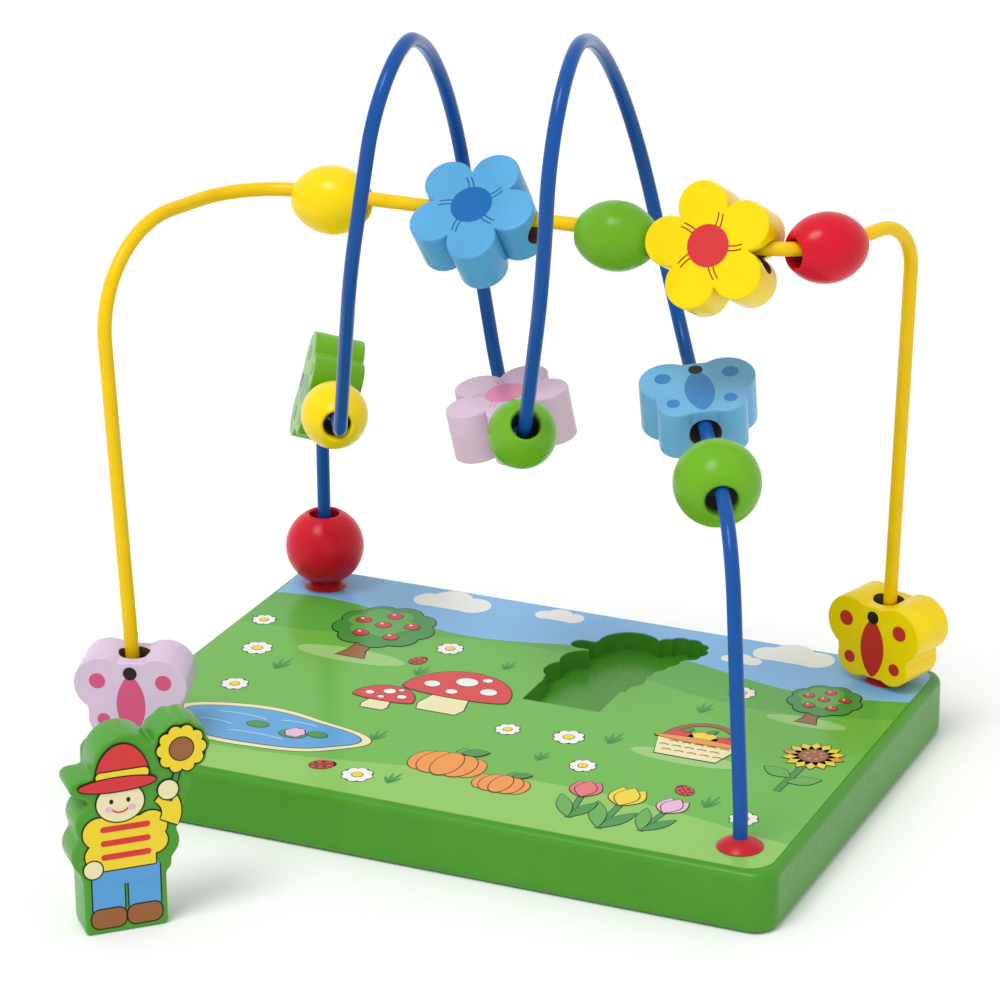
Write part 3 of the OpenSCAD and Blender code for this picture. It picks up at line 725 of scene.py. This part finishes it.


# Bores get a dark brown, with the shade deep inside them painted in.
bore_wood_and_shade = shaded_bare_beech("bare_drilled_beech_and_painted_shade")
bead_paint = {name: painted_beech(name + "_enamel_on_beech", colour) for name, colour in BEAD_COLOURS.items()}
ball_section = bead_section(BALL_D, BALL_BORE, BEAD_LIP)
barrel_section = bead_section(BARREL_D, BARREL_BORE, BEAD_LIP, BARREL_LEN)
for bead_node, bead_colour, (section, in_bore), axis in (
        ("red_round_bead", "red", ball_section, np.array((0, 0, 1.0))),
        ("large_green_bead", "green", ball_section, heading(BLUE_ROUTE, 11)),
        ("small_yellow_bead", "yellow", barrel_section, heading(BLUE_ROUTE, 1)),
        ("small_green_bead", "green", barrel_section, bend_heading(BLUE_ROUTE, 7, SMALL_GREEN_TURN)),
        ("yellow_oval_bead", "yellow", barrel_section, heading(YELLOW_ROUTE, 3)),
        ("green_oval_bead", "green", barrel_section, heading(YELLOW_ROUTE, 3)),
        ("red_oval_bead", "red", barrel_section, bend_heading(YELLOW_ROUTE, 4, RED_OVAL_TURN))):
    bead_mesh = ring_mesh("turned_" + bead_node, on_axis(section, middle_of(bead_node), axis), looped=True)
    bead_mesh.polygons.foreach_set("material_index", np.repeat(in_bore.astype(int), BEAD_SIDES))
    soften(bead_mesh, 60)
    bead = new_piece("turned_" + bead_node, bead_mesh, [bead_paint[bead_colour], bore_wood_and_shade])
    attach(bead, bead_node)
    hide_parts(bead_node)


# Flowers
# Five-petalled flowers sawn from 15 mm beech, drilled across from a petal's tip to the gap opposite.
# Sprayed in one colour, then printed on both faces with a centre and short lines between the petals.
SAWN_T = 15
SAWN_EDGE = 0.6
SAWN_BORE = 9
SAWN_POINTS = 360
DRILL_REACH = 30
DRILL_SIDES = 64
PETAL_R = 7
PETAL_AT = 11.25
CENTRE_R = 5.9
WHISKER_L = 3.9
WHISKER_W = 0.36
FLOWER_INKS = {"rose_ink": "#ef8fb4", "deep_blue_ink": "#1a6eb8", "dark_blue_ink": "#175a94",
               "dark_red_ink": "#8e1f1c"}


def rounded_slab(outline, thickness, edge):
    """Rings of a slab with the given outline: at angle q round its edges the outline is drawn in by
    edge (1 - cos q) along its normals, at the height of thickness / 2 - edge + edge sin q."""
    q = np.radians(np.linspace(0, 90, 7))
    inset = edge * (1 - np.cos(q))
    rise = thickness / 2 - edge + edge * np.sin(q)
    inset, rise = np.concatenate([inset[::-1], inset]), np.concatenate([rise[::-1], -rise])
    along = np.roll(outline, -1, 0) - np.roll(outline, 1, 0)
    inward = np.column_stack([-along[:, 1], along[:, 0]]) / np.linalg.norm(along, axis=1)[:, None]
    flat = outline + inset[:, None, None] * inward
    return np.concatenate([flat, np.broadcast_to(rise[:, None, None], (*flat.shape[:2], 1))], -1)


def bored_slab(name, outline):
    """A rounded slab in millimetres with a round bore along its X axis, taken away by a Boolean.
    Faces with all their corners on the bore get the second material."""
    slab = new_piece(name, ring_mesh(name, rounded_slab(outline, SAWN_T, SAWN_EDGE)), [])
    t = np.linspace(0, 2 * pi, DRILL_SIDES, endpoint=False)
    ring = np.column_stack([np.full(DRILL_SIDES, DRILL_REACH),
                            SAWN_BORE / 2 * np.cos(t), SAWN_BORE / 2 * np.sin(t)])
    drill = new_piece("drill", ring_mesh("drill", np.stack([ring * (-1, 1, 1), ring])), [])
    for shape in (slab, drill):
        soften(shape.data, 180)
    cut = slab.modifiers.new("bore", "BOOLEAN")
    cut.operation = "DIFFERENCE"
    cut.solver = "EXACT"
    cut.object = drill
    finished = slab.evaluated_get(bpy.context.evaluated_depsgraph_get())
    mesh = bpy.data.meshes.new_from_object(finished)
    bpy.data.objects.remove(slab)
    bpy.data.objects.remove(drill)
    corners = np.empty(len(mesh.vertices) * 3)
    mesh.vertices.foreach_get("co", corners)
    around = np.empty(len(mesh.loops), int)
    mesh.loops.foreach_get("vertex_index", around)
    starts = np.empty(len(mesh.polygons), int)
    mesh.polygons.foreach_get("loop_start", starts)
    on_bore = np.linalg.norm(corners.reshape(-1, 3)[:, 1:], axis=1) < SAWN_BORE / 2 + 0.01
    mesh.polygons.foreach_set("material_index", np.minimum.reduceat(on_bore[around].astype(int), starts))
    return mesh


def threaded_axes(node, wire, face, tip, reach):
    """A threaded piece's origin in metres and its axes: X along its bore, Z out of its face. Both are
    tipped off the wire by an angle that lowers the +X end. The origin comes from the node's own vertices
    and lies reach millimetres behind the farthest of them along X."""
    ahead = unit(wire)
    out = unit(np.asarray(face) - (np.asarray(face) @ ahead) * ahead)
    c, s = cos(radians(tip)), sin(radians(tip))
    x, z = c * ahead - s * out, c * out + s * ahead
    axes = np.array([x, np.cross(z, x), z])
    across = node_mesh(node)[0] @ axes.T
    low, high = across.min(0), across.max(0)
    middle = (low + high) / 2
    middle[0] = high[0] - reach * MM
    return middle @ axes, axes


def placed(mesh, origin, axes):
    """Moves a mesh in millimetres to its place in the frame."""
    matrix = np.eye(4)
    matrix[:3, :3] = np.asarray(axes).T * MM
    matrix[:3, 3] = origin
    mesh.transform(Matrix(matrix.tolist()))
    return mesh


def sawn_piece(node, colour, outline, wire, face, tip, reach, art):
    """A drilled shape in its place on its wire, sprayed in one colour and printed on both faces."""
    origin, axes = threaded_axes(node, wire, face, tip, reach)
    mesh = placed(bored_slab("sawn_" + node, outline), origin, axes)
    soften(mesh, 40)
    piece = new_piece("sawn_" + node, mesh, [painted_beech(node + "_enamel_on_beech", colour), bore_wood_and_shade])
    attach(piece, node)
    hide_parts(node)
    for side, turn in (("front", 1), ("back", -1)):
        print_axes = axes * np.array([(1,), (turn,), (turn,)])
        ink = film(f"{node}_{side}_print", art, origin + print_axes[2] * SAWN_T / 2 * MM, print_axes)
        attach(ink, node)


def flower_print(art, centre_ink, line_ink):
    """A round centre and, towards each gap between petals, two short lines that curve the same way."""
    draw(art, ellipse(0, 0, CENTRE_R, CENTRE_R, points=64), centre_ink, 1, 0)
    for gap in np.arange(5) * 72 + 36:
        for off in (-0.65, 0.65):
            s = np.linspace(0, 1, 10)
            u, v = CENTRE_R - WHISKER_W + WHISKER_L * s, off + 0.9 * s ** 2
            c, d = cos(radians(gap)), sin(radians(gap))
            draw(art, ribbon(np.column_stack([c * u - d * v, d * u + c * v]), WHISKER_W), line_ink, 0, 0)


for ink, colour in FLOWER_INKS.items():
    ink_materials[ink] = printed_ink(ink, colour)
flower_outline = far_edge(ring_of(5, 0, 0, PETAL_AT, PETAL_R) + [(0, 0, PETAL_AT)], points=SAWN_POINTS)
for flower_node, flower_colour, flower_slot, wire, face, tip, centre_ink, line_ink in (
        ("pink_flower", "#e3c5dd", "bead_lilac", heading(BLUE_ROUTE, 6), (-0.17, -0.1, 1), 6,
         "rose_ink", "rose_ink"),
        ("blue_flower", "#5dade0", "bead_blue", heading(YELLOW_ROUTE, 3), (0, -0.62, 0.78), 0,
         "deep_blue_ink", "dark_blue_ink"),
        ("yellow_flower", "#fddc00", "bead_yellow", -heading(YELLOW_ROUTE, 3), (0, -0.9, 0.44), 0,
         "red_ink", "dark_red_ink")):
    petal_art = []
    flower_print(petal_art, centre_ink, line_ink)
    sawn_piece(flower_node, flower_colour, flower_outline, wire, face, tip,
               PETAL_AT + PETAL_R, petal_art)


# Butterflies
# Butterflies sawn from 15 mm beech with two pairs of round wings, drilled from head to tail.
# Sprayed in one colour and printed on both faces with wing spots, a pointed body and a black head.
BODY_W = 11
BODY_END = 11.2
# Discs of the upper wing, the waist and the lower wing on one side, as x, y and radius
WINGS = [(4.3, 8.0, 8.2), (-2.8, 6.6, 5.8), (-6, 6.4, 6)]
WING_SPOT = (5.4, 9.4, 2.3)
TAIL_SPOT = (-6.3, 7.9, 1.85)
PRINTED_BODY = (-10.6, 17.8, 8.2)
HEAD_DOT = (7.9, 1.95)
BUTTERFLY_INKS = {"cherry_ink": "#c92f2c", "deep_rose_ink": "#d85580", "bright_blue_ink": "#3f86cb",
                  "dark_green_ink": "#2f7a2a"}


def butterfly_print(art, ink):
    """Two pairs of round spots, a head dot and a full body. Half the body's width at s along it is
    width / 2 * sin(pi * s) ** 0.6."""
    for x, y, r in (WING_SPOT, TAIL_SPOT):
        for side in (-1, 1):
            draw(art, ellipse(x, side * y, r, r), ink, 1, 0)
    tail, length, width = PRINTED_BODY
    s = np.linspace(0, 1, 33)
    half = width / 2 * np.sin(pi * s) ** 0.6
    draw(art, np.column_stack([tail + length * np.concatenate([s, s[-2:0:-1]]),
                               np.concatenate([-half, half[-2:0:-1]])]), ink, 1, 0)
    draw(art, ellipse(HEAD_DOT[0], 0, HEAD_DOT[1], HEAD_DOT[1]), "black_ink", 2, 0)


for ink, colour in BUTTERFLY_INKS.items():
    ink_materials[ink] = printed_ink(ink, colour)
wings = [(x, side * y, r) for x, y, r in WINGS for side in (-1, 1)]
butterfly_outline = far_edge(wings, [(-BODY_END, -BODY_W / 2, BODY_END, BODY_W / 2)], points=SAWN_POINTS)
upright = np.array((0, 0, 1.0))
for fly_node, fly_colour, fly_slot, wire, face, tip, fly_ink in (
        ("green_butterfly", "#6fb31f", "bead_green", -heading(BLUE_ROUTE, 1), (-0.84, -0.5, 0.27), 0,
         "dark_green_ink"),
        ("blue_butterfly", "#74b8e6", "bead_blue", -heading(BLUE_ROUTE, 11), (-0.085, -0.045, 1), -9,
         "bright_blue_ink"),
        ("pink_butterfly", "#dcc3df", "bead_lilac", upright, (0.3, -0.95, 0), 0, "deep_rose_ink"),
        ("yellow_butterfly", "#fddc00", "bead_yellow", upright, (-0.3, -0.95, 0), 0, "cherry_ink")):
    wing_art = []
    butterfly_print(wing_art, fly_ink)
    sawn_piece(fly_node, fly_colour, butterfly_outline, wire, face, tip,
               WINGS[0][0] + WINGS[0][2], wing_art)


# Garden figure
# A loose gardener sawn from 11.5 mm beech, sprayed green all over and printed on its front face.
# It stands on the table, and it fits the recess in the board lying on its back.
FIGURE_HEEL = (-61, -144)
FIGURE_TURN = 44
FIGURE_T = 11.5
FIGURE_EDGE = 0.8
FIGURE_EASE = 1.0
FIGURE_GREEN = "#4f9f30"
# Discs and boxes of the outline, upwards and to the right from the left heel
FIGURE_DISCS = [(3.5, 23, 6.5), (5, 32, 6.6), (19.9, 31, 6.6), (21.4, 24, 5.1), (22, 40, 4.5),
                (24.4, 36.5, 4.2), (26.5, 41, 4.2), (11, 43.5, 8), (12.5, 48, 8.7), (-0.6, 42.9, 2.4),
                (20.4, 42.9, 2.4)]
FIGURE_BARS = [(0, 0, 22.5, 20), (-0.5, 16, 24, 32), (5, 30, 20, 38), (-0.6, 40.6, 20.4, 45.2)]
BLOOM = (27.6, 50.4)
FIGURE_MIDDLE = (13.5, 33)


def rounded_box(left, bottom, right, top, corner):
    """A box whose corners are quarter circles of one radius."""
    t = np.radians(np.linspace(0, 90, 7))
    turn = np.column_stack([np.cos(t), np.sin(t)]) * corner
    back = turn[::-1]
    left, bottom, right, top = left + corner, bottom + corner, right - corner, top - corner
    return np.concatenate([(right, top) + turn, (left, top) + back * (-1, 1),
                           (left, bottom) - turn, (right, bottom) + back * (1, -1)])


def eased(outline, reach, step=0.2):
    """An outline with its corners rubbed down: points at even steps along it, each one moved to the
    average of its neighbours, weighted by exp(-d^2 / (2 reach^2)) at the distance d along the outline."""
    loop = np.concatenate([outline, outline[:1]])
    gone = np.concatenate([[0], np.cumsum(np.linalg.norm(np.diff(loop, axis=0), axis=1))])
    even = np.arange(0, gone[-1], gone[-1] / round(gone[-1] / step))
    points = np.column_stack([np.interp(even, gone, loop[:, k]) for k in (0, 1)])
    span = np.arange(-round(3 * reach / step), round(3 * reach / step) + 1)
    weight = np.exp(-(span * step) ** 2 / (2 * reach ** 2))
    return sum(w * np.roll(points, k, 0) for k, w in zip(span, weight)) / weight.sum()


def gardener_print(art):
    """The gardener: boots, trousers, a striped jumper, a plain doll's face, a sun hat and a sunflower."""
    for left in (2.2, 12.0):
        draw(art, rounded_box(left, 6, left + 8.6, 19, 1.5), "water_ink", 2)
        draw(art, rounded_box(left - 0.5, 1.8, left + 8.8, 7.2, 2.2), "brown_ink", 4)
    draw(art, rounded_box(2.6, 14, 20.6, 20, 2), "water_ink", 4, 0)
    jumper = far_edge([(4.6, 29.5, 4.4), (18.6, 29.5, 4.4), (4.2, 23, 3.6), (19.6, 25, 3.4)],
                      [(3.5, 18.5, 19.6, 33)], (11.5, 26))
    draw(art, jumper, "yellow_ink", 6)
    for y in (21.5, 25.5, 29.5):
        draw(art, rounded_box(4.9, y, 18.4, y + 1.7, 0.8), "red_ink", 8, 0)
    draw(art, ellipse(2.6, 19.2, 2.5, 2.5), "cream_ink", 8)
    draw(art, ribbon(arc(15, 33, 9.4, 7.4, -25, 45, 12), 5.2), "yellow_ink", 8)
    draw(art, ribbon([(23.6, 36), (25.2, 40.5), (26.6, 45), (27.4, 48)], 1.3), "leaf_ink", 10)
    draw(art, ellipse(23.6, 39.2, 2.7, 2.7), "cream_ink", 12)
    draw(art, ellipse(10.6, 37.6, 6.4, 5.4), "cream_ink", 10)
    for eye, cheek in ((8.2, 7.47), (12.8, 13.68)):
        draw(art, ellipse(eye, 38.2, 0.55, 0.7, points=16), "black_ink", 12, 0)
        draw(art, ellipse(cheek, 36, 1.1, 0.8, points=20), "pink_ink", 12, 0)
    draw(art, ribbon(arc(10.5, 36.6, 2.3, 1.7, 205, 335), 0.42), "red_ink", 13, 0)
    draw(art, arc(11.4, 43, 7.4, 11.2, 0, 180, 32), "red_ink", 14)
    draw(art, rounded_box(4.3, 44.2, 18.5, 46.8, 1.2), "yellow_ink", 16)
    draw(art, ellipse(10, 43, 10.4, 1.9), "red_ink", 18)
    petals = ring_of(10, *BLOOM, 4.9, 1.8)
    draw(art, far_edge(petals, (), BLOOM), "yellow_ink", 14)
    draw(art, ellipse(*BLOOM, 3.2, 3.2), "brown_ink", 16, 0.3)


bloom = ring_of(10, *BLOOM, 5.9, 2.3) + [(*BLOOM, 6.4)]
figure_outline = eased(far_edge(FIGURE_DISCS + bloom, FIGURE_BARS, FIGURE_MIDDLE, 1440), FIGURE_EASE)
turn = radians(FIGURE_TURN)
figure_axes = np.array([(cos(turn), sin(turn), 0), (0, 0, 1), (sin(turn), -cos(turn), 0)])
figure_origin = np.array([*FIGURE_HEEL, 0]) * MM
figure_mesh = ring_mesh("sawn_garden_figure", rounded_slab(figure_outline, FIGURE_T, FIGURE_EDGE))
placed(figure_mesh, figure_origin - figure_axes[2] * FIGURE_T / 2 * MM, figure_axes)
soften(figure_mesh, 40)
figure_paint = painted_beech("leaf_green_enamel_on_beech", FIGURE_GREEN)
figure = new_piece("sawn_garden_figure", figure_mesh, [figure_paint])
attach(figure, "garden_figure")
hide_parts("garden_figure")
gardener_art = []
gardener_print(gardener_art)
gardener = film("garden_figure_print", gardener_art, figure_origin, figure_axes)
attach(gardener, "garden_figure")


# Studio
# A white sweep under a broad overhead softbox and a white surround.
# The camera stands where the photograph was taken, seen from the front right and above.
CAMERA_AZIMUTH = 24.1
CAMERA_ELEVATION = 21.2
CAMERA_ROLL = -0.34
CAMERA_DISTANCE = 1300.9
CAMERA_AIM = (-71.4, 148.2, 18)
CAMERA_LENS = 143.8
FLOOR_HALF = 4000
SURROUND_LEVEL = 0.68
KEY_PLACE = (-1000, -4200, 9000)
KEY_SIZE = 4.4
KEY_POWER = 480

floor_mesh = bpy.data.meshes.new("floor")
square = np.array([(-1, -1, 0), (1, -1, 0), (1, 1, 0), (-1, 1, 0)]) * FLOOR_HALF * MM
floor_mesh.from_pydata(square.tolist(), [], [(0, 1, 2, 3)])
floor_white, floor_tree = blank_material("matt_white_sweep")
sweep = add(floor_tree, "ShaderNodeBsdfPrincipled",
            {"Base Color": srgb("#fdfdfd"), "Roughness": 0.9}).outputs[0]
add(floor_tree, "ShaderNodeOutputMaterial", {"Surface": sweep})
floor = new_piece("floor", floor_mesh, [floor_white])

world = bpy.data.worlds.new("white_surround")
bpy.context.scene.world = world
world.use_nodes = True
world.node_tree.nodes.clear()
path = add(world.node_tree, "ShaderNodeLightPath").outputs
seen = add(world.node_tree, "ShaderNodeMath",
           {0: path["Is Camera Ray"], 1: path["Is Glossy Ray"]}, operation="MAXIMUM").outputs[0]
seen = add(world.node_tree, "ShaderNodeMath",
           {0: seen, 1: path["Is Transmission Ray"]}, operation="MAXIMUM").outputs[0]
level = add(world.node_tree, "ShaderNodeMapRange",
            {"Value": seen, "To Min": SURROUND_LEVEL, "To Max": 1.0}).outputs[0]
surround = add(world.node_tree, "ShaderNodeBackground",
               {"Color": (1, 1, 1, 1), "Strength": level}).outputs[0]
add(world.node_tree, "ShaderNodeOutputWorld", {"Surface": surround})

key_light = bpy.data.lights.new("softbox", "AREA")
key_light.shape = "DISK"
key_light.size = KEY_SIZE
key_light.energy = KEY_POWER
key = bpy.data.objects.new("softbox", key_light)
bpy.context.scene.collection.objects.link(key)
key_back = unit(KEY_PLACE)
key_right = unit(np.cross((0, 1, 0), key_back))
key_axes = np.column_stack([key_right, np.cross(key_back, key_right), key_back])
key.matrix_world = Matrix.Translation(np.array(KEY_PLACE) * MM) @ Matrix(key_axes.tolist()).to_4x4()

azimuth, elevation, roll = (radians(a) for a in (CAMERA_AZIMUTH, CAMERA_ELEVATION, CAMERA_ROLL))
back = np.array([sin(azimuth) * cos(elevation), -cos(azimuth) * cos(elevation), sin(elevation)])
right = np.array([cos(azimuth), sin(azimuth), 0])
above = np.cross(back, right)
camera_axes = np.column_stack([cos(roll) * right + sin(roll) * above,
                               cos(roll) * above - sin(roll) * right, back])
camera = bpy.data.objects.new("camera", bpy.data.cameras.new("camera"))
camera.data.sensor_width = 36
camera.data.lens = CAMERA_LENS
eye = (np.array(CAMERA_AIM) + CAMERA_DISTANCE * back) * MM
camera.matrix_world = Matrix.Translation(eye) @ Matrix(camera_axes.tolist()).to_4x4()
bpy.context.scene.collection.objects.link(camera)
bpy.context.scene.camera = camera
bpy.context.scene.view_settings.view_transform = "Standard"
